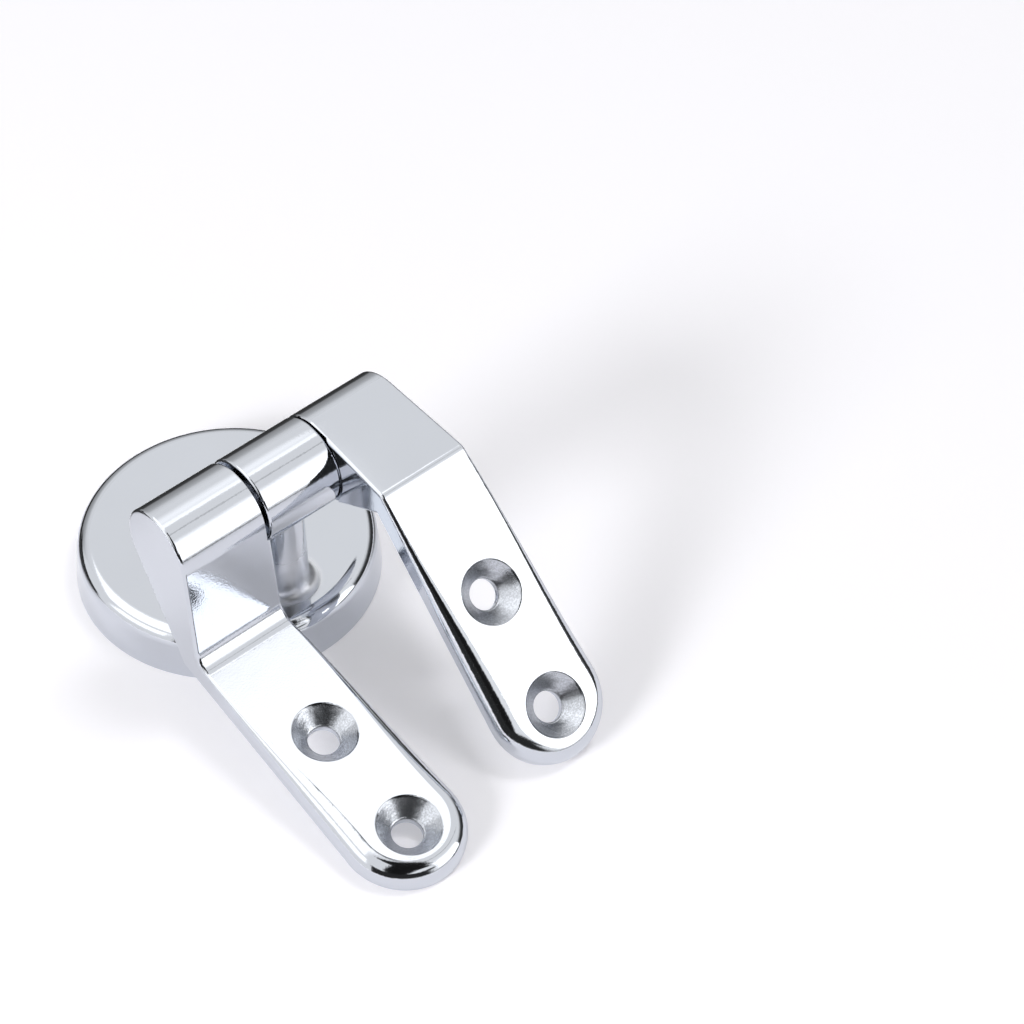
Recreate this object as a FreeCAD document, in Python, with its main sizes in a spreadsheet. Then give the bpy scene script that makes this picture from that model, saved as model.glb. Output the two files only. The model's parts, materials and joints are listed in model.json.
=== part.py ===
import FreeCAD, Part
import math
import os
import Sketcher

# Toilet seat hinge: a cast foot with an offset post and middle knuckle, a lid strap and a seat strap that turn
# on one pin. The origin is the foot's centre on the face that sits on the pan, +Z is up, the barrel runs along X
# and both straps are swung back towards -Y until their tips rest on that same surface.

SIZES = {
    # Foot, post and fixing bolt
    "foot_diameter": 55.8,
    "foot_top_diameter": 54.2,
    "foot_height": 9.3,
    "foot_edge_radius": 3.0,
    "foot_roof": 2.6,
    "foot_wall": 3.0,
    "boss_diameter": 16.0,
    "bolt_hole_diameter": 6.8,
    "rib_thickness": 2.4,
    "post_foot_diameter": 9.4,
    "post_top_diameter": 8.4,
    "post_foot_radius": 2.0,
    "axis_offset": 16.4,
    "axis_height": 35.0,
    # Barrel of three knuckles on one pin
    "knuckle_diameter": 16.6,
    "middle_length": 16.0,
    "outer_length": 16.8,
    "lid_knuckle_gap": 1.0,
    "seat_knuckle_gap": 0.3,
    "knuckle_edge_radius": 0.5,
    "knuckle_end_wall": 3.0,
    "pin_diameter": 6.0,
    "pin_clearance": 0.05,
    "pin_end_gap": 0.5,
    "pin_chamfer": 0.6,
    # Both straps
    "plate_thickness": 4.2,
    "tip_width": 22.6,
    "tip_margin": 10.0,
    "neck_clearance": 0.5,
    "hole_spacing": 22.6,
    "screw_hole_diameter": 5.6,
    "countersink_diameter": 11.6,
    "countersink_edge_radius": 0.3,
    "neck_edge_radius": 0.6,
    "tip_edge_radius": 3.4,
    # Lid strap: distances from the barrel axis to its screwed face and first hole, angles of its neck
    "lid_crank": 17.35,
    "lid_first_hole": 37.3,
    "lid_back_slope": 45.0,
    "lid_front_tilt": 17.0,
    "lid_bend_radius": 4.0,
    # Seat strap, in the same terms
    "seat_crank": 17.75,
    "seat_first_hole": 34.5,
    "seat_back_slope": 36.0,
    "seat_front_tilt": 18.0,
    "seat_bend_radius": 2.0,
}
RIB_COUNT = 6
# Sketches that only cut reach this far past the solid they trim.
OVERCUT = 2.0
# The rounding of a plate's tip takes at most this share of its thickness.
TIP_ROUNDING_SHARE = 0.85

doc = FreeCAD.newDocument("toilet_seat_hinge")
sheet = doc.addObject("Spreadsheet::Sheet", "sizes")
for row, (alias, value) in enumerate(SIZES.items(), start=1):
    sheet.set(f"A{row}", alias)
    sheet.set(f"B{row}", str(value))
    sheet.setAlias(f"B{row}", alias)
doc.recompute()


def size(expression):
    """The value of an expression over the sheet, such as 'sizes.foot_diameter / 2'."""
    return float(sheet.evalExpression(expression))


def bind(target, prop, expression):
    target.setExpression(prop, expression)


def new_body(label):
    body = doc.addObject("PartDesign::Body", label)
    body.Label = label
    return body


def origin_feature(body, role):
    return next(item for item in body.Origin.OriginFeatures if item.Role == role)


def new_sketch(body, plane, name, offset=None):
    """A sketch on one of the body's own planes, moved along its normal by an expression."""
    sketch = body.newObject("Sketcher::SketchObject", name)
    sketch.AttachmentSupport = [(origin_feature(body, plane), "")]
    sketch.MapMode = "FlatFace"
    if offset:
        bind(sketch, "AttachmentOffset.Base.z", offset)
    return sketch


def dimension(sketch, kind, *geometry, to):
    """A driving dimension of a sketch, bound to an expression over the sheet."""
    value = size(to)
    start = math.radians(value) if kind == "Angle" else value
    index = sketch.addConstraint(Sketcher.Constraint(kind, *geometry, start))
    bind(sketch, f"Constraints[{index}]", to)


def polygon(sketch, points):
    """Closed run of straight lines. Returns the lines' numbers in the sketch."""
    ends = points[1:] + points[:1]
    lines = [
        sketch.addGeometry(Part.LineSegment(FreeCAD.Vector(*a, 0), FreeCAD.Vector(*b, 0)))
        for a, b in zip(points, ends)
    ]
    for line, following in zip(lines, lines[1:] + lines[:1]):
        sketch.addConstraint(Sketcher.Constraint("Coincident", line, 2, following, 1))
    return lines


def straight(sketch, kind, *lines):
    for line in lines:
        sketch.addConstraint(Sketcher.Constraint(kind, line))


def place_point(sketch, line, point, x, y):
    """Ties one end of a line to expressions for its place from the sketch's origin."""
    for kind, to in (("DistanceX", x), ("DistanceY", y)):
        dimension(sketch, kind, -1, 1, line, point, to=to)


def circle_at(sketch, x, y, diameter):
    """A circle by its centre and diameter. A coordinate of None lies on the sketch's own axis."""
    centre = FreeCAD.Vector(size(x) if x else 0, size(y) if y else 0, 0)
    circle = sketch.addGeometry(Part.Circle(centre, FreeCAD.Vector(0, 0, 1), size(diameter) / 2))
    for kind, to, axis in (("DistanceX", x, -2), ("DistanceY", y, -1)):
        if to:
            dimension(sketch, kind, -1, 1, circle, 3, to=to)
        else:
            sketch.addConstraint(Sketcher.Constraint("PointOnObject", circle, 3, axis))
    dimension(sketch, "Diameter", circle, to=diameter)


def feature(body, kind, name, profile, **settings):
    item = body.newObject(f"PartDesign::{kind}", name)
    item.Profile = profile
    for prop, value in settings.items():
        setattr(item, prop, value)
    return item


def edge_names(shape, wanted):
    return [f"Edge{i}" for i, edge in enumerate(shape.Edges, start=1) if wanted(edge)]


def round_edges(body, name, radius, wanted):
    """Fillets the edges of the body's last feature that a test picks out."""
    doc.recompute()
    base = body.Tip
    fillet = body.newObject("PartDesign::Fillet", name)
    fillet.Base = (base, edge_names(base.Shape, wanted))
    bind(fillet, "Radius", radius)
    doc.recompute()


def is_circle(edge, radius):
    return isinstance(edge.Curve, Part.Circle) and abs(edge.Curve.Radius - radius) < 1e-4


def make_base():
    """Foot, post and middle knuckle, cast in one piece and hollow below."""
    body = new_body("base")
    foot_radius, top_radius = "sizes.foot_diameter / 2", "sizes.foot_top_diameter / 2"
    hollow_depth = "sizes.foot_height - sizes.foot_roof"
    boss_radius = "sizes.boss_diameter / 2"
    hollow_radius = "sizes.foot_diameter / 2 - sizes.foot_wall"
    barrel_y, barrel_z = "-sizes.axis_offset", "sizes.axis_height"

    outline = new_sketch(body, "YZ_Plane", "foot_outline")
    corners = [(0, 0), (size(foot_radius), 0), (size(top_radius), SIZES["foot_height"]), (0, SIZES["foot_height"])]
    bottom, side, top, axis = polygon(outline, corners)
    straight(outline, "Horizontal", bottom, top)
    outline.addConstraint(Sketcher.Constraint("Coincident", bottom, 1, -1, 1))
    outline.addConstraint(Sketcher.Constraint("PointOnObject", axis, 1, -2))
    dimension(outline, "DistanceX", -1, 1, bottom, 2, to=foot_radius)
    place_point(outline, side, 2, top_radius, "sizes.foot_height")
    feature(body, "Revolution", "foot", outline, ReferenceAxis=(outline, ["V_Axis"]), Angle=360)
    round_edges(body, "foot_edge", "sizes.foot_edge_radius", lambda e: is_circle(e, size(top_radius)))

    ring = new_sketch(body, "YZ_Plane", "hollow_ring")
    corners = [(size(x), size(y)) for x, y in (
        (boss_radius, "0"), (hollow_radius, "0"), (hollow_radius, hollow_depth), (boss_radius, hollow_depth))]
    mouth, wall, roof, boss = polygon(ring, corners)
    straight(ring, "Horizontal", mouth, roof)
    straight(ring, "Vertical", wall, boss)
    ring.addConstraint(Sketcher.Constraint("PointOnObject", mouth, 1, -1))
    dimension(ring, "DistanceX", -1, 1, mouth, 1, to=boss_radius)
    place_point(ring, wall, 2, hollow_radius, hollow_depth)
    feature(body, "Groove", "hollow", ring, ReferenceAxis=(ring, ["V_Axis"]), Angle=360)

    rib_end = f"-({hollow_radius}) - sizes.foot_wall / 3"
    rib_start = f"-({boss_radius}) * 0.8"
    half_rib = "sizes.rib_thickness / 2"
    section = new_sketch(body, "XY_Plane", "rib_section")
    corners = [(-size(half_rib), size(rib_end)), (size(half_rib), size(rib_end)),
               (size(half_rib), size(rib_start)), (-size(half_rib), size(rib_start))]
    outer, right, inner, left = polygon(section, corners)
    straight(section, "Horizontal", outer, inner)
    straight(section, "Vertical", right, left)
    place_point(section, right, 2, half_rib, rib_start)
    place_point(section, outer, 1, f"-{half_rib}", rib_end)
    rib = feature(body, "Pad", "rib", section)
    bind(rib, "Length", f"{hollow_depth} + sizes.foot_roof / 2")
    doc.recompute()
    ribs = body.newObject("PartDesign::PolarPattern", "ribs")
    ribs.Originals = [rib]
    ribs.Axis = (section, ["N_Axis"])
    ribs.Angle = 360
    ribs.Occurrences = RIB_COUNT
    body.Tip = ribs

    tap = new_sketch(body, "XY_Plane", "bolt_hole_circle")
    circle_at(tap, None, None, "sizes.bolt_hole_diameter")
    bolt_hole = feature(body, "Pocket", "bolt_hole", tap, Reversed=True)
    bind(bolt_hole, "Length", hollow_depth)

    post = new_sketch(body, "YZ_Plane", "post_outline")
    make_post_outline(post)
    feature(body, "Revolution", "post", post, ReferenceAxis=(post, ["Axis0"]), Angle=360)

    knuckle = new_sketch(body, "YZ_Plane", "middle_circle")
    circle_at(knuckle, barrel_y, barrel_z, "sizes.knuckle_diameter")
    middle = feature(body, "Pad", "middle_knuckle", knuckle, SideType="Symmetric")
    bind(middle, "Length", "sizes.middle_length")
    round_edges(
        body, "middle_edges", "sizes.knuckle_edge_radius",
        lambda e: is_circle(e, SIZES["knuckle_diameter"] / 2) and abs(e.Curve.Axis.x) > 0.99)

    bore = new_sketch(body, "YZ_Plane", "pin_circle")
    circle_at(bore, barrel_y, barrel_z, "sizes.pin_diameter")
    feature(body, "Pocket", "pin_bore", bore, SideType="Symmetric", Type="ThroughAll")
    return body


def make_post_outline(sketch):
    """Half of the tapered post with the flare at its foot, beside its own upright axis."""
    x, floor = -SIZES["axis_offset"], size("sizes.foot_height")
    root = size("sizes.foot_height - sizes.foot_roof / 2")
    foot, flare = SIZES["post_foot_diameter"] / 2, SIZES["post_foot_radius"]
    neck, crown = SIZES["post_top_diameter"] / 2, SIZES["axis_height"]
    lean = math.atan2(foot - neck, crown - floor)
    centre = FreeCAD.Vector(x - foot - flare, floor + flare, 0)
    touch = (centre.x + flare * math.cos(lean), centre.y + flare * math.sin(lean))
    points = [(centre.x, floor), (centre.x, root), (x, root), (x, crown), (x - neck, crown), touch]
    lines = [
        sketch.addGeometry(Part.LineSegment(FreeCAD.Vector(*a, 0), FreeCAD.Vector(*b, 0)))
        for a, b in zip(points, points[1:])
    ]
    step, under, axis, cap, side = lines
    circle = Part.Circle(centre, FreeCAD.Vector(0, 0, 1), flare)
    arc = sketch.addGeometry(Part.ArcOfCircle(circle, -math.pi / 2, lean))
    spine = sketch.addGeometry(
        Part.LineSegment(FreeCAD.Vector(x, root, 0), FreeCAD.Vector(x, crown, 0)), True)
    for line, following in zip(lines, lines[1:]):
        sketch.addConstraint(Sketcher.Constraint("Coincident", line, 2, following, 1))
    sketch.addConstraint(Sketcher.Constraint("Coincident", arc, 1, step, 1))
    sketch.addConstraint(Sketcher.Constraint("Tangent", arc, 2, side, 2))
    sketch.addConstraint(Sketcher.Constraint("Vertical", arc, 3, arc, 1))
    straight(sketch, "Vertical", step, axis)
    straight(sketch, "Horizontal", under, cap)
    for end in (1, 2):
        sketch.addConstraint(Sketcher.Constraint("Coincident", spine, end, axis, end))
    place_point(sketch, axis, 1, "-sizes.axis_offset", "sizes.foot_height - sizes.foot_roof / 2")
    dimension(sketch, "DistanceY", -1, 1, axis, 2, to="sizes.axis_height")
    dimension(sketch, "DistanceY", -1, 1, step, 1, to="sizes.foot_height")
    dimension(sketch, "Radius", arc, to="sizes.post_foot_radius")
    dimension(sketch, "DistanceX", under, 1, under, 2, to="sizes.post_foot_diameter / 2 + sizes.post_foot_radius")
    dimension(sketch, "DistanceX", cap, 2, cap, 1, to="sizes.post_top_diameter / 2")


def make_pin():
    """Steel pin: tight in the middle knuckle, running in both straps, hidden in their closed ends."""
    body = new_body("hinge_pin")
    section = new_sketch(
        body, "YZ_Plane", "pin_section", offset="(sizes.seat_knuckle_gap - sizes.lid_knuckle_gap) / 2")
    circle_at(section, "-sizes.axis_offset", "sizes.axis_height", "sizes.pin_diameter")
    pin = feature(body, "Pad", "pin", section, SideType="Symmetric")
    joints = "sizes.lid_knuckle_gap + sizes.middle_length + sizes.seat_knuckle_gap"
    bind(pin, "Length", f"{joints} + 2 * (sizes.outer_length - sizes.knuckle_end_wall - sizes.pin_end_gap)")
    doc.recompute()
    chamfer = body.newObject("PartDesign::Chamfer", "pin_ends")
    chamfer.Base = (pin, edge_names(pin.Shape, lambda e: is_circle(e, SIZES["pin_diameter"] / 2)))
    bind(chamfer, "Size", "sizes.pin_chamfer")
    return body


def make_strap_profile(sketch, name, up):
    """Side view of a strap about the barrel axis, plate level and pointing to -Y.
    The back of the neck slopes off the knuckle to the plate's far face, its front drops to the near face.
    up is 1 where the plate lies above the axis, -1 where it lies below."""
    radius = SIZES["knuckle_diameter"] / 2
    slope, tilt = math.radians(SIZES[f"{name}_back_slope"]), math.radians(SIZES[f"{name}_front_tilt"])
    far, near, reach = (size(e) for e in (far_face(name), near_face(name), f"{tip_reach(name)} + {OVERCUT}"))
    back = (radius * math.sin(slope), radius * math.cos(slope))
    front = (-radius * math.cos(tilt), -radius * math.sin(tilt))
    outer_bend = (back[0] - (far - back[1]) / math.tan(slope), far)
    inner_bend = (front[0] - (near - front[1]) * math.tan(tilt), near)
    points = [FreeCAD.Vector(x, up * y, 0) for x, y in (
        back, outer_bend, (-reach, far), (-reach, near), inner_bend, front)]
    slant, far_line, end, near_line, drop = (
        sketch.addGeometry(Part.LineSegment(a, b)) for a, b in zip(points, points[1:]))
    circle = Part.Circle(FreeCAD.Vector(), FreeCAD.Vector(0, 0, 1), radius)
    first, last = sorted((math.pi + up * tilt, up * (math.pi / 2 - slope) + (2 * math.pi if up > 0 else 0)))
    barrel = sketch.addGeometry(Part.ArcOfCircle(circle, first, last))
    front_end, back_end = (1, 2) if up > 0 else (2, 1)
    for line, following in ((slant, far_line), (far_line, end), (end, near_line), (near_line, drop)):
        sketch.addConstraint(Sketcher.Constraint("Coincident", line, 2, following, 1))
    sketch.addConstraint(Sketcher.Constraint("Tangent", barrel, back_end, slant, 1))
    sketch.addConstraint(Sketcher.Constraint("Tangent", barrel, front_end, drop, 2))
    sketch.addConstraint(Sketcher.Constraint("Coincident", barrel, 3, -1, 1))
    straight(sketch, "Horizontal", far_line, near_line)
    straight(sketch, "Vertical", end)
    sign = "" if up > 0 else "-"
    dimension(sketch, "Diameter", barrel, to="sizes.knuckle_diameter")
    dimension(sketch, "DistanceX", end, 1, -1, 1, to=f"{tip_reach(name)} + {OVERCUT}")
    dimension(sketch, "DistanceY", -1, 1, end, 1, to=f"{sign}({far_face(name)})")
    dimension(sketch, "DistanceY", -1, 1, end, 2, to=f"{sign}({near_face(name)})")
    dimension(sketch, "Angle", slant, to=f"180 - {up} * sizes.{name}_back_slope")
    dimension(sketch, "Angle", drop, to=f"{up} * (sizes.{name}_front_tilt - 90)")
    return points[1 if up > 0 else 4]


def far_face(name):
    """Distance from the barrel axis to the plate's face on the outside of the bend."""
    return "sizes.seat_crank" if name == "seat" else "sizes.lid_crank + sizes.plate_thickness"


def near_face(name):
    """Distance from the barrel axis to the plate's face on the inside of the bend."""
    return "sizes.seat_crank - sizes.plate_thickness" if name == "seat" else "sizes.lid_crank"


def tip_reach(name):
    return f"sizes.{name}_first_hole + sizes.hole_spacing + sizes.tip_margin"


def make_strap_trim(sketch, name):
    """What is cut off one side of the plate, seen from above: outside the flared edge and the round tip."""
    half, tip = SIZES["outer_length"] / 2, SIZES["tip_width"] / 2
    rear, reach = SIZES["knuckle_diameter"] / 2 + OVERCUT, size(tip_reach(name))
    beyond, wide = -reach - 2 * OVERCUT, tip + OVERCUT
    along = rear + reach - tip
    flare = math.atan2(along, half) - math.acos(tip / math.hypot(half, along))
    centre = FreeCAD.Vector(0, tip - reach, 0)
    touch = (tip * math.cos(flare), tip * math.sin(flare) + centre.y)
    points = [(0, -reach), (0, beyond), (wide, beyond), (wide, rear), (half, rear), touch]
    lines = [
        sketch.addGeometry(Part.LineSegment(FreeCAD.Vector(*a, 0), FreeCAD.Vector(*b, 0)))
        for a, b in zip(points, points[1:])
    ]
    circle = Part.Circle(centre, FreeCAD.Vector(0, 0, 1), tip)
    nose = sketch.addGeometry(Part.ArcOfCircle(circle, -math.pi / 2, flare))
    middle, end, outside, back, edge = lines
    for line, following in zip(lines, lines[1:]):
        sketch.addConstraint(Sketcher.Constraint("Coincident", line, 2, following, 1))
    sketch.addConstraint(Sketcher.Constraint("Tangent", edge, 2, nose, 2))
    sketch.addConstraint(Sketcher.Constraint("Coincident", nose, 1, middle, 1))
    for geometry, point in ((nose, 3), (middle, 1)):
        sketch.addConstraint(Sketcher.Constraint("PointOnObject", geometry, point, -2))
    straight(sketch, "Vertical", middle, outside)
    straight(sketch, "Horizontal", end, back)
    dimension(sketch, "Radius", nose, to="sizes.tip_width / 2")
    dimension(sketch, "DistanceY", -1, 1, middle, 1, to=f"-({tip_reach(name)})")
    place_point(sketch, edge, 1, "sizes.outer_length / 2", f"sizes.knuckle_diameter / 2 + {OVERCUT}")
    place_point(sketch, end, 2, f"sizes.tip_width / 2 + {OVERCUT}", f"-({tip_reach(name)}) - {2 * OVERCUT}")


def make_strap_blank(name, up):
    """A strap's neck and plate before its holes, with sharp edges all round but for the bend."""
    blank = new_body(f"{name}_blank")
    profile = new_sketch(blank, "YZ_Plane", f"{name}_profile")
    bend = make_strap_profile(profile, name, up)
    bar = feature(blank, "Pad", f"{name}_bar", profile, SideType="Symmetric")
    bind(bar, "Length", f"sizes.tip_width + {2 * OVERCUT}")
    round_edges(
        blank, f"{name}_bend", f"sizes.{name}_bend_radius",
        lambda e: math.hypot(e.CenterOfMass.y - bend.x, e.CenterOfMass.z - bend.y) < 1e-3)
    trim = new_sketch(blank, "XY_Plane", f"{name}_trim")
    make_strap_trim(trim, name)
    cut = feature(blank, "Pocket", f"{name}_side", trim, SideType="Symmetric", Type="ThroughAll")
    doc.recompute()
    sides = blank.newObject("PartDesign::Mirrored", f"{name}_sides")
    sides.Originals = [cut]
    sides.MirrorPlane = (origin_feature(blank, "YZ_Plane"), [""])
    blank.Tip = sides
    doc.recompute()
    return blank


def round_outline(blank, name, level):
    """Rounds a blank's outline on its screwed face. The radius stays small round the knuckle and neck, grows along
    the plate's sides and is largest round the tip. Radii run in the direction of the first arc of the tip."""
    neck = SIZES["neck_edge_radius"]
    tip = min(SIZES["tip_edge_radius"], TIP_ROUNDING_SHARE * SIZES["plate_thickness"])
    outline = [(i, e) for i, e in enumerate(blank.Shape.Edges, start=1) if abs(e.CenterOfMass.z - level) < 1e-3]
    arcs = [(i, e) for i, e in outline if is_circle(e, SIZES["tip_width"] / 2)]
    sides = [(i, e) for i, e in outline if abs(e.CenterOfMass.x) > SIZES["outer_length"] / 4 and (i, e) not in arcs]
    start, end = (arcs[0][1].valueAt(place) for place in arcs[0][1].ParameterRange)
    edges = [(i, tip, tip) for i, e in arcs]
    for i, e in sides:
        leaves_tip = e.CenterOfMass.x * (end.x - start.x) > 0
        edges.append((i, tip, neck) if leaves_tip else (i, neck, tip))
    rounded = doc.addObject("Part::Fillet", f"{name}_edges")
    rounded.Base = blank
    rounded.Edges = edges
    doc.recompute()
    return rounded


def make_strap(name, side, up):
    """One cast strap, made with its barrel axis at the origin, then swung back onto the table.
    side is -1 left of the middle knuckle and 1 right of it, up as for the profile."""
    screwed_face = f"sizes.{name}_crank" if up > 0 else f"-sizes.{name}_crank"
    level = size(screwed_face)
    rounded = round_outline(make_strap_blank(name, up), name, level)
    body = new_body(f"{name}_strap")
    body.BaseFeature = rounded
    doc.recompute()

    drill = new_sketch(body, "XY_Plane", f"{name}_hole_circles", offset=screwed_face)
    for place in (f"-sizes.{name}_first_hole", f"-sizes.{name}_first_hole - sizes.hole_spacing"):
        circle_at(drill, None, place, "sizes.screw_hole_diameter")
    doc.recompute()
    holes = feature(
        body, "Hole", f"{name}_screw_holes", drill, ThreadType="None", DepthType="ThroughAll",
        HoleCutType="Countersink", HoleCutCustomValues=True, HoleCutCountersinkAngle=90)
    bind(holes, "Diameter", "sizes.screw_hole_diameter")
    bind(holes, "HoleCutDiameter", "sizes.countersink_diameter")
    round_edges(
        body, f"{name}_hole_rims", "sizes.countersink_edge_radius",
        lambda e: is_circle(e, SIZES["countersink_diameter"] / 2) and abs(e.CenterOfMass.z - level) < 1e-3)

    # The flared neck is cut back round the barrel, so that it swings clear of the middle knuckle.
    inner_end = f"{-side} * sizes.outer_length / 2"
    relief = new_sketch(body, "YZ_Plane", f"{name}_relief_circle", offset=inner_end)
    circle_at(relief, None, None, "sizes.knuckle_diameter + 2 * sizes.neck_clearance")
    feature(body, "Pocket", f"{name}_relief", relief, Reversed=side < 0, Type="ThroughAll")
    bore = new_sketch(body, "YZ_Plane", f"{name}_bore_circle", offset=inner_end)
    circle_at(bore, None, None, "sizes.pin_diameter + 2 * sizes.pin_clearance")
    pin_bore = feature(body, "Pocket", f"{name}_pin_bore", bore, Reversed=side > 0)
    bind(pin_bore, "Length", "sizes.outer_length - sizes.knuckle_end_wall")

    under = "sizes.seat_crank - sizes.plate_thickness" if up > 0 else "-(sizes.lid_crank + sizes.plate_thickness)"
    reach = tip_reach(name)
    body.Placement = FreeCAD.Placement(FreeCAD.Vector(), FreeCAD.Rotation(FreeCAD.Vector(1, 0, 0), 1))
    bind(body, "Placement.Base.x",
         f"{side} * (sizes.middle_length / 2 + sizes.{name}_knuckle_gap + sizes.outer_length / 2)")
    bind(body, "Placement.Base.y", "-sizes.axis_offset")
    bind(body, "Placement.Base.z", "sizes.axis_height")
    bind(body, "Placement.Rotation.Angle",
         f"asin(sizes.axis_height / sqrt(({reach}) ^ 2 + ({under}) ^ 2)) + atan2({under}; {reach})")
    return body


bodies = [make_base(), make_pin(), make_strap("lid", -1, -1), make_strap("seat", 1, 1)]
doc.recompute()

for item in doc.Objects:
    if {"Invalid", "Error"} & set(item.State):
        raise RuntimeError(f"{item.Label} failed: {item.State}")
for body in bodies:
    if body.Shape.isNull() or not body.Shape.isValid() or len(body.Shape.Solids) != 1:
        raise RuntimeError(f"{body.Label} isn't one valid solid")

os.makedirs("parts", exist_ok=True)
for body in bodies:
    body.Shape.exportStep(f"parts/{body.Label}.step")
    box = body.Shape.optimalBoundingBox(False, False)
    print(f"{body.Label}: {body.Shape.Volume:.1f} mm3, X {box.XMin:.2f} to {box.XMax:.2f}, "
          f"Y {box.YMin:.2f} to {box.YMax:.2f}, Z {box.ZMin:.3f} to {box.ZMax:.2f}")
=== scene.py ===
"""Toilet seat hinge in bright chrome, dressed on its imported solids, on a white table in a light tent."""
import json
import math

import bpy
from mathutils import Matrix, Vector

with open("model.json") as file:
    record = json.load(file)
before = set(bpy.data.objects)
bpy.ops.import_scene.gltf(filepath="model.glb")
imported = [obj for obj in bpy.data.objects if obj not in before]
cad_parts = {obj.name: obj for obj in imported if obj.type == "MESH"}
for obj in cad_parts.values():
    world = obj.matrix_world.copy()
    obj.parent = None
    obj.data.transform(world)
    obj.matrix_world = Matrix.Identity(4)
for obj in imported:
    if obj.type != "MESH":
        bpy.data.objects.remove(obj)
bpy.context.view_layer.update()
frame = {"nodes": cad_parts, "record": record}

# Camera, solved from the photograph: angles in degrees, lengths in metres, sensor in millimetres
CAMERA_AZIMUTH = -41.59
CAMERA_ELEVATION = 46.93
CAMERA_ROLL = 0.21
CAMERA_DISTANCE = 0.6379
CAMERA_AIM = Vector((0.04735, -0.02456, 0.0))
CAMERA_NEAR = 0.01
SENSOR_WIDTH = 36.0
FOCAL_PIXELS = 3431.1
PHOTO_PIXELS = 1024

# Directions
UP = Vector((0, 0, 1))
DOWN = Vector((0, 0, -1))
TO_BACK = Vector((0, 1, 0))
TO_FRONT = Vector((0, -1, 0))
TO_RIGHT = Vector((1, 0, 0))
TO_LEFT = Vector((-1, 0, 0))

# The barrel's axis, which passes over the post, and a point inside each strap's bend, all at rest
BARREL = Vector(frame["record"]["behaviour"]["joints"][0]["pos_m"])
LID_BEND = BARREL + Vector((0.0, -0.0086, -0.0085))
SEAT_BEND = BARREL + Vector((0.0, -0.0176, -0.0160))

# What each metal mirrors of white: cool plating, a paler tone round the post that is painted light, and
# steel
CHROME_TONE = (0.622, 0.647, 0.695)
POST_PAINTED_LIGHT_TONE = (0.76, 0.775, 0.81)
STEEL_TONE = (0.50, 0.50, 0.51)

# Shares of the chrome tone in its clouds and in the painted shade of the countersinks, and how much of that
# painted shade shows
CLOUD_SHARES = (0.96, 1.03)
COUNTERSINK_SHADE_SHARE = 0.45
COUNTERSINK_SHADE_COVER = 0.44

# Texture of the plating: scales are waves to the metre, bumps are in metres
RIPPLE_SCALE = 90.0
RIPPLE_BUMP = 0.00005
GRAIN_SCALE = 2600.0
GRAIN_BUMP = 0.000006
BEND_GRAIN_BUMP = 0.000011
CLOUD_SCALE = 45.0
PIT_SCALE = 330.0
PIT_PICK_SCALE = 140.0
PIT_BUMP = 0.00001
LUMP_SCALE = 650.0
LUMP_BUMP = 0.00007
SPECKLE_SCALE = 3400.0
SPECKLE_BUMP = 0.000016
LIP_BUMP = 0.00005

# Roughness of the plating, and what clouds, pits and unpolished places add to it
POLISHED = 0.05
CLOUD_ROUGHNESS = 0.05
PIT_ROUGHNESS = 0.08
COUNTERSINK_ROUGHNESS = 0.20
POST_ROUGHNESS = 0.30

# Where the noise makes pits and dark specks, as the start and end of a fade
PIT_CELL_FADE = (0.04, 0.16)
PIT_PICK_FADE = (0.66, 0.74)
SPECK_FADE = (0.66, 0.38)

# Where the plating is left coarse, as the start and end of a fade in metres; the post's fades also place its
# painted light, and the cone's fades the countersinks' painted shade
BEND_FADE = (0.011, 0.006)
POST_FADE = (0.0075, 0.0060)
POST_HEIGHT_FADE = (0.026, 0.013)
CONE_FADE = (0.0058, 0.0054)
CONE_DEPTH_FADE = (0.0, 0.0005)

# Rings in a countersink, in metres: its outer edge, which gets a dark ring of painted shade, and the lip
# round the hole
EDGE_RADIUS = 0.00568
EDGE_FADE = (0.00022, 0.00008)
LIP_RADIUS = 0.00288
LIP_FADE = (0.00024, 0.0)

# Drawn steel of the pin: lines to the metre along each axis, their bump in metres, and the roughness
STEEL_LINES = (4000.0, 200.0, 200.0)
STEEL_BUMP = 0.000004
STEEL_ROUGHNESS = 0.25
STEEL_LINE_ROUGHNESS = 0.15
STEEL_LINE_SHARE = 0.9

# Table, and the light that fills the tent
TABLE_SIZE = 6.0
TABLE_DROP = 0.0002
TABLE_TONE = (0.80, 0.79, 0.83)
TABLE_GLOW = 0.27
TENT_FILL = 0.42
WHITE = (1.0, 1.0, 1.0)

# Lamps: name, place, what it is aimed at, size and watts
SOFTBOXES = (
    ("left_softbox", (-1.10, -0.10, 0.55), (0, -0.03, 0), (0.40, 0.30), 11.4),
    ("right_softbox", (0.40, -0.18, 1.15), (0, -0.02, 0), (0.35, 0.35), 3.4),
)

# Brightness of the walls from the table, 0, to their top, 1
PALE_WALL = ((0.0, 0.33), (0.12, 0.40), (0.28, 0.48), (0.44, 0.60), (0.63, 0.88), (0.85, 0.97), (1.0, 1.0))
DARK_WALL = ((0.0, 0.03), (0.45, 0.06), (0.60, 0.30), (0.80, 0.85), (1.0, 1.0))

# Width and height of the walls, where their fade at the top starts, and how wide it is at their sides
WALL_SIZE = (3.8, 0.9)
WALL_HEAD_FADE = 0.85
WALL_SIDE_FADE = 0.25

# How far the dark card round the camera is from the point that the camera looks at
CAMERA_CARD_DISTANCE = 0.66


def toward_camera():
    """Unit vector from the object to the camera."""
    turn, rise = math.radians(CAMERA_AZIMUTH), math.radians(CAMERA_ELEVATION)
    return Vector((math.sin(turn) * math.cos(rise), -math.cos(turn) * math.cos(rise), math.sin(rise)))


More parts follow.
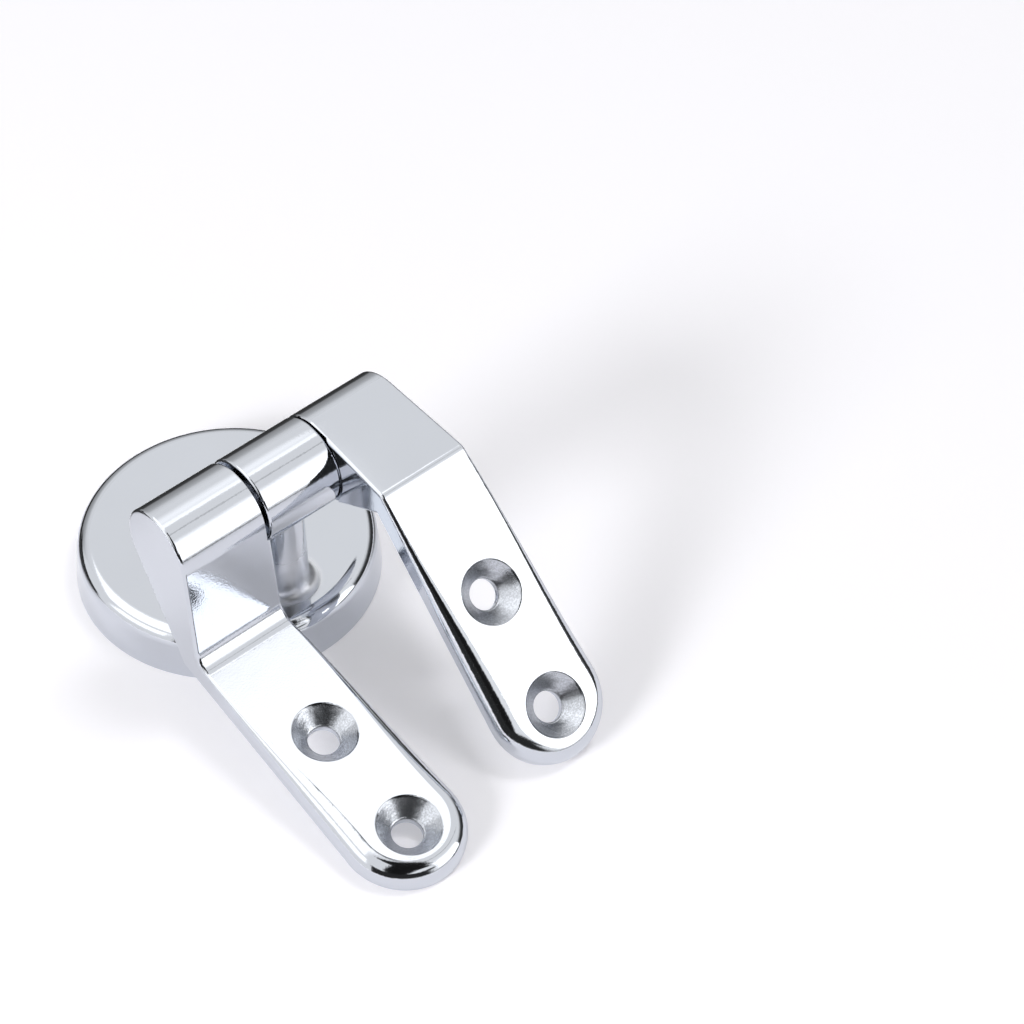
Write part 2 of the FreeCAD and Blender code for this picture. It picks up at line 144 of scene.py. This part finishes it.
def facing(back, roll=0.0):
    """Turn of an object whose own +Z points along back, as an euler."""
    right = UP.cross(back)
    right = right.normalized() if right.length > 1e-6 else TO_RIGHT
    up = back.cross(right)
    turn = math.radians(roll)
    across = math.cos(turn) * right + math.sin(turn) * up
    above = math.cos(turn) * up - math.sin(turn) * right
    return Matrix((across, above, back)).transposed().to_euler()


def add_camera():
    """The photograph's camera."""
    back = toward_camera()
    place = CAMERA_AIM + back * CAMERA_DISTANCE
    bpy.ops.object.camera_add(location=place, rotation=facing(back, CAMERA_ROLL))
    camera = bpy.context.object
    camera.name = "photo_camera"
    camera.data.sensor_width = SENSOR_WIDTH
    camera.data.lens = FOCAL_PIXELS / PHOTO_PIXELS * SENSOR_WIDTH
    camera.data.clip_start = CAMERA_NEAR
    bpy.context.scene.camera = camera


class Value:
    """A shader socket that takes part in plain arithmetic. Each operator adds one Math node."""

    def __init__(self, nodes, socket):
        self.nodes, self.socket = nodes, socket

    def math(self, operation, *others):
        return self.nodes.add("ShaderNodeMath", {"operation": operation}, **{
            f"in{i}": value for i, value in enumerate((self, *others))})

    def __add__(self, other):
        return self.math("ADD", other)

    def __radd__(self, other):
        return self.math("ADD", other)

    def __sub__(self, other):
        return self.math("SUBTRACT", other)

    def __rsub__(self, other):
        return self.nodes.add("ShaderNodeMath", {"operation": "SUBTRACT"}, in0=other, in1=self)

    def __mul__(self, other):
        return self.math("MULTIPLY", other)

    def __rmul__(self, other):
        return self.math("MULTIPLY", other)

    def at_most(self, limit):
        return self.math("MINIMUM", limit)

    def at_least(self, limit):
        return self.math("MAXIMUM", limit)

    def size(self):
        return self.math("ABSOLUTE")

    def fade(self, start, end):
        """0 at start and 1 at end, smooth between."""
        settings = {"interpolation_type": "SMOOTHSTEP", "clamp": True}
        return self.nodes.add("ShaderNodeMapRange", settings, **{
            "Value": self, "From Min": start, "From Max": end, "To Min": 0.0, "To Max": 1.0})


class Nodes:
    """The node tree of one material or of the world."""

    def __init__(self, owner):
        owner.use_nodes = True
        self.tree = owner.node_tree
        self.tree.nodes.clear()

    def add(self, kind, settings=None, out=0, **inputs):
        """A node by its type, with its settings and then its sockets set, by name or as in0, in1 and so on.
        Returns one output."""
        node = self.tree.nodes.new(kind)
        for name, setting in (settings or {}).items():
            if name == "stops":
                self.set_stops(node.color_ramp, setting)
            else:
                setattr(node, name, setting)
        for name, value in inputs.items():
            numbered = name[:2] == "in" and name[2:].isdigit()
            socket = node.inputs[int(name[2:]) if numbered else name]
            if isinstance(value, Value):
                self.tree.links.new(value.socket, socket)
            else:
                socket.default_value = value
        return Value(self, node.outputs[out]) if node.outputs else node

    @staticmethod
    def set_stops(ramp, stops):
        """Grey stops of a ramp, as places and tones."""
        while len(ramp.elements) > 1:
            ramp.elements.remove(ramp.elements[-1])
        for i, (place, tone) in enumerate(stops):
            element = ramp.elements[0] if i == 0 else ramp.elements.new(place)
            element.position = place
            element.color = (tone, tone, tone, 1.0)

    def mix(self, factor, first, second):
        """A colour between two."""
        return self.add("ShaderNodeMix", {"data_type": "RGBA"}, out=2, in0=factor, in6=first, in7=second)

    def noise(self, place, scale, detail):
        return self.add("ShaderNodeTexNoise", Vector=place, Scale=scale, Detail=detail)


def rgba(colour, share=1.0):
    """A colour as its sockets take it, at a share of its brightness."""
    return (*(channel * share for channel in colour), 1.0)


def screw_places(strap):
    """Centres and axes of a strap's screw holes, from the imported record."""
    mounts = [m for m in frame["record"]["mounts"] if m["name"].startswith(f"{strap}_screw")]
    return [(Vector(m["pos_m"]), Vector(m["axis"])) for m in mounts]


def away_from(n, place, centre, axis):
    """Distance from a line through centre along axis."""
    offset = n.add("ShaderNodeVectorMath", {"operation": "SUBTRACT"}, in0=place, in1=centre)
    across = n.add("ShaderNodeVectorMath", {"operation": "CROSS_PRODUCT"}, in0=offset, in1=axis)
    return n.add("ShaderNodeVectorMath", {"operation": "LENGTH"}, out=1, in0=across)


def beyond(n, place, centre, axis):
    """Distance past centre along axis."""
    offset = n.add("ShaderNodeVectorMath", {"operation": "SUBTRACT"}, in0=place, in1=centre)
    return n.add("ShaderNodeVectorMath", {"operation": "DOT_PRODUCT"}, out=1, in0=offset, in1=axis)


def metal(n, tone, rough, height):
    """The shader of a bare metal, joined to the material's output."""
    bump = n.add("ShaderNodeBump", Height=height, Distance=1.0, Strength=1.0)
    shader = n.add("ShaderNodeBsdfPrincipled", **{
        "Base Color": tone, "Metallic": 1.0, "Roughness": rough, "Normal": bump})
    n.add("ShaderNodeOutputMaterial", Surface=shader)


def make_chrome(name, holes=(), bend=None, post=None):
    """Bright plating over a polished casting: faint ripple, a few pits, and coarser metal where the
    polishing wheel doesn't reach, in the countersinks, inside the bend and round the post. The plating round
    the foot of the post is also painted paler, which is painted light, and each countersink gets painted
    shade: darker specks and a dark ring at its outer edge."""
    material = bpy.data.materials.new(name)
    n = Nodes(material)
    place = n.add("ShaderNodeTexCoord", out=3)
    ripple = n.noise(place, RIPPLE_SCALE, 2.0)
    grain = n.noise(place, GRAIN_SCALE, 2.0)
    cloud = n.noise(place, CLOUD_SCALE, 3.0)
    pit_cell = n.add("ShaderNodeTexVoronoi", Vector=place, Scale=PIT_SCALE)
    pit_pick = n.noise(place, PIT_PICK_SCALE, 1.0)
    pit = (1.0 - pit_cell.fade(*PIT_CELL_FADE)) * pit_pick.fade(*PIT_PICK_FADE)

    height = ripple * RIPPLE_BUMP + grain * GRAIN_BUMP - pit * PIT_BUMP
    rough = cloud * CLOUD_ROUGHNESS + POLISHED + pit * PIT_ROUGHNESS
    tone = n.mix(cloud, *(rgba(CHROME_TONE, share) for share in CLOUD_SHARES))
    if bend is not None:
        inside = away_from(n, place, bend, TO_RIGHT).fade(*BEND_FADE)
        height = height + inside * grain * BEND_GRAIN_BUMP
    if post is not None:
        rise = n.add("ShaderNodeSeparateXYZ", out=2, Vector=place)
        post_rough_and_painted_light = away_from(n, place, post, UP).fade(*POST_FADE) * rise.fade(*POST_HEIGHT_FADE)
        rough = rough + post_rough_and_painted_light * POST_ROUGHNESS
        # Painted light: the plating round the foot of the post is painted paler than the rest of the chrome.
        tone = n.mix(post_rough_and_painted_light, tone, rgba(POST_PAINTED_LIGHT_TONE))
    if holes:
        lumps = n.noise(place, LUMP_SCALE, 1.0)
        speckle = n.noise(place, SPECKLE_SCALE, 2.0)
        cast = (lumps - 0.5) * LUMP_BUMP + speckle * SPECKLE_BUMP
        dark_specks = speckle.fade(*SPECK_FADE)
    for centre, axis in holes:
        reach = away_from(n, place, centre, axis)
        front = beyond(n, place, centre, axis).fade(*CONE_DEPTH_FADE)
        cone = reach.fade(*CONE_FADE) * front
        lip = (reach - LIP_RADIUS).size().fade(*LIP_FADE) * front
        edge = (reach - EDGE_RADIUS).size().fade(*EDGE_FADE) * front
        height = height + cone * cast + lip * LIP_BUMP
        rough = rough + cone * COUNTERSINK_ROUGHNESS
        # Painted shade: darker specks in each countersink and a dark ring at its outer edge.
        countersink_painted_shade = (cone * dark_specks).at_least(edge) * COUNTERSINK_SHADE_COVER
        tone = n.mix(countersink_painted_shade, tone, rgba(CHROME_TONE, COUNTERSINK_SHADE_SHARE))
    metal(n, tone, rough, height)
    return material


def make_steel(name):
    """Drawn steel with fine lines round the pin."""
    material = bpy.data.materials.new(name)
    n = Nodes(material)
    place = n.add("ShaderNodeTexCoord", out=3)
    stretched = n.add("ShaderNodeMapping", Vector=place, Scale=STEEL_LINES)
    lines = n.noise(stretched, 1.0, 2.0)
    tone = n.mix(lines, rgba(STEEL_TONE, STEEL_LINE_SHARE), rgba(STEEL_TONE))
    metal(n, tone, lines * STEEL_LINE_ROUGHNESS + STEEL_ROUGHNESS, lines * STEEL_BUMP)
    return material


def seen_directly(n):
    """1 for camera, glossy and transmission rays."""
    kinds = ("Is Camera Ray", "Is Glossy Ray", "Is Transmission Ray")
    camera, glossy, through = (n.add("ShaderNodeLightPath", out=kind) for kind in kinds)
    return (camera + glossy + through).at_most(1.0)


def add_table():
    """White table under the hinge. A little light of its own fills it up to white and the shadows stay."""
    bpy.ops.object.select_all(action="DESELECT")
    bpy.ops.mesh.primitive_plane_add(size=TABLE_SIZE, location=(0, 0, -TABLE_DROP))
    table = bpy.context.object
    table.name = "white_table"
    material = bpy.data.materials.new("table_white")
    n = Nodes(material)
    matt = n.add("ShaderNodeBsdfDiffuse", Color=rgba(TABLE_TONE))
    glow = n.add("ShaderNodeEmission", Color=rgba(WHITE), Strength=seen_directly(n) * TABLE_GLOW)
    n.add("ShaderNodeOutputMaterial", Surface=n.add("ShaderNodeAddShader", in0=matt, in1=glow))
    table.data.materials.append(material)


def add_card(name, middle, size, faces, paint):
    """A panel of the tent that only the metal sees. paint gives its brightness and its cover, from the
    nodes, metres across and up from its middle, and its size."""
    bpy.ops.object.select_all(action="DESELECT")
    bpy.ops.mesh.primitive_plane_add(size=1.0, location=middle, rotation=facing(faces))
    card = bpy.context.object
    card.name = name
    card.scale = (*size, 1.0)
    bpy.ops.object.transform_apply(location=False, rotation=False, scale=True)
    material = bpy.data.materials.new(f"{name}_card")
    n = Nodes(material)
    place = n.add("ShaderNodeTexCoord", out=3)
    across, up = (n.add("ShaderNodeSeparateXYZ", out=out, Vector=place) for out in (0, 1))
    glow, cover = paint(n, across, up, size)
    shine = n.add("ShaderNodeEmission", Color=rgba(WHITE), Strength=glow)
    clear = n.add("ShaderNodeBsdfTransparent")
    surface = n.add("ShaderNodeMixShader", in0=cover, in1=clear, in2=shine)
    n.add("ShaderNodeOutputMaterial", Surface=surface)
    card.data.materials.append(material)
    card.visible_camera = card.visible_diffuse = card.visible_shadow = False


def soft_panel(glow, sides, foot, head):
    """Paint of an even panel that fades out over these widths at its sides, foot and head."""
    def paint(n, across, up, size):
        half, tall = size[0] / 2, size[1] / 2
        cover = across.size().fade(half, half - sides)
        return glow, cover * up.fade(-tall, foot - tall) * up.fade(tall, tall - head)
    return paint


def graded_wall(stops):
    """Paint of a wall whose brightness climbs from the table to its clear top."""
    def paint(n, across, up, size):
        half = size[0] / 2
        rise = up * (1 / size[1]) + 0.5
        glow = n.add("ShaderNodeValToRGB", {"stops": stops}, Fac=rise)
        return glow, rise.fade(1.0, WALL_HEAD_FADE) * across.size().fade(half, half - WALL_SIDE_FADE)
    return paint


def from_middle(across, up):
    """Distance from the middle of a card."""
    return (across * across + up * up).math("SQRT")


def dark_ground(n, across, up, size):
    """Paint of the dark sheet behind the hinge as the camera sees it: black near the foot, grey far off,
    and on the right only a ring near the foot."""
    reach = from_middle(across, up)
    outside_foot = reach.fade(0.038, 0.050)
    behind = (across * 0.57 + up * 0.82).fade(-0.015, 0.025)
    left_part = (up - across * 0.42).fade(-0.012, 0.030)
    near_ring = reach.fade(0.10, 0.07) * 0.85
    grey = reach.fade(0.08, 1.0) * 0.29 + 0.045
    return grey, outside_foot * behind * left_part.at_least(near_ring)


def camera_side(n, across, up, size):
    """Paint of the dark patch round the camera, cut off on its left."""
    patch = from_middle(across, up).fade(0.30, 0.23)
    return 0.012, patch * (across - up * 0.5).fade(-0.11, -0.06)


def add_softbox(name, middle, aim, size, watts):
    """A lamp that lights the table. The metal sees the panels instead of it."""
    back = (Vector(middle) - Vector(aim)).normalized()
    bpy.ops.object.light_add(type="AREA", location=middle, rotation=facing(back))
    lamp = bpy.context.object
    lamp.name = name
    lamp.data.shape = "RECTANGLE"
    lamp.data.size, lamp.data.size_y = size
    lamp.data.energy = watts
    lamp.visible_camera = lamp.visible_glossy = False


def light_tent():
    """White tent round the hinge: lamps, graded walls, bright and dark panels, and the dark sheet behind."""
    world = bpy.data.worlds.new("tent_white")
    bpy.context.scene.world = world
    n = Nodes(world)
    strength = seen_directly(n) * (1.0 - TENT_FILL) + TENT_FILL
    background = n.add("ShaderNodeBackground", Color=rgba(WHITE), Strength=strength)
    n.add("ShaderNodeOutputWorld", Surface=background)
    for softbox in SOFTBOXES:
        add_softbox(*softbox)

    camera = toward_camera()
    behind_camera = CAMERA_AIM + camera * CAMERA_CARD_DISTANCE

    # Name, middle, width and height, the way it faces, and its paint
    cards = (
        ("back_wall", (1.5, 1.0, 0.45), WALL_SIZE, TO_FRONT, graded_wall(PALE_WALL)),
        ("right_wall", (1.4, 0.0, 0.45), WALL_SIZE, TO_LEFT, graded_wall(DARK_WALL)),
        ("back_left_gap", (-0.56, 0.98, 0.11), (0.95, 0.22), TO_FRONT, soft_panel(0.02, 0.12, 0.001, 0.07)),
        ("left_shade", (-1.2, -0.77, 0.39), (1.00, 0.78), TO_RIGHT, soft_panel(0.03, 0.10, 0.001, 0.12)),
        ("ground_sheet", (0, 0, 0.0006), (4.0, 4.0), UP, dark_ground),
        ("left_panel", (-1.25, 0.40, 0.85), (1.2, 0.9), TO_RIGHT, soft_panel(1.7, 0.15, 0.20, 0.15)),
        ("left_roof_panel", (-0.36, 0.55, 1.20), (1.3, 1.3), DOWN, soft_panel(1.7, 0.15, 0.15, 0.15)),
        ("barrel_strip", (0.046, 0.034, 0.171), (0.060, 0.110), DOWN, soft_panel(1.42, 0.008, 0.055, 0.055)),
        ("top_panel", (0.62, 0.205, 1.50), (0.36, 0.30), DOWN, soft_panel(1.7, 0.05, 0.06, 0.06)),
        ("roof_slit", (0.33, 0.25, 1.46), (0.20, 0.80), DOWN, soft_panel(0.05, 0.06, 0.15, 0.15)),
        ("camera_boom", (0.05, -0.37, 1.10), (0.56, 0.54), DOWN, soft_panel(0.015, 0.06, 0.06, 0.06)),
        ("roof_seam", (0.78, -0.46, 1.48), (1.6, 0.12), DOWN, soft_panel(0.55, 0.1, 0.06, 0.06)),
        ("front_panel", (0.665, -0.80, 0.695), (1.00, 1.21), TO_BACK, soft_panel(2.6, 0.12, 0.07, 0.90)),
        ("front_shade", (-0.165, -0.82, 1.09), (1.17, 1.60), TO_BACK, soft_panel(0.015, 0.08, 0.08, 0.20)),
        ("low_shade", (-0.70, -0.815, 0.42), (1.70, 0.84), TO_BACK, soft_panel(0.03, 0.16, 0.05, 0.10)),
        ("front_bar", (-0.03, -0.79, 0.56), (0.66, 0.36), TO_BACK, soft_panel(1.1, 0.14, 0.07, 0.07)),
        ("camera_side", behind_camera, (0.9, 0.9), camera, camera_side),
        ("front_line", (0.5, -0.79, 0.042), (3.0, 0.040), TO_BACK, soft_panel(0.2, 0.1, 0.012, 0.012)),
    )
    for card in cards:
        add_card(*card)


def dress():
    """Give each CAD node its finish."""
    finishes = {
        "base": make_chrome("base_chrome_bright", post=BARREL),
        "lid_strap": make_chrome("lid_chrome_bright", screw_places("lid"), LID_BEND),
        "seat_strap": make_chrome("seat_chrome_bright", screw_places("seat"), SEAT_BEND),
        "hinge_pin": make_steel("pin_drawn_steel"),
    }
    for node, material in finishes.items():
        frame["nodes"][node].material_slots[0].material = material


add_camera()
add_table()
light_tent()
dress()
bpy.context.scene.view_settings.view_transform = "Standard"
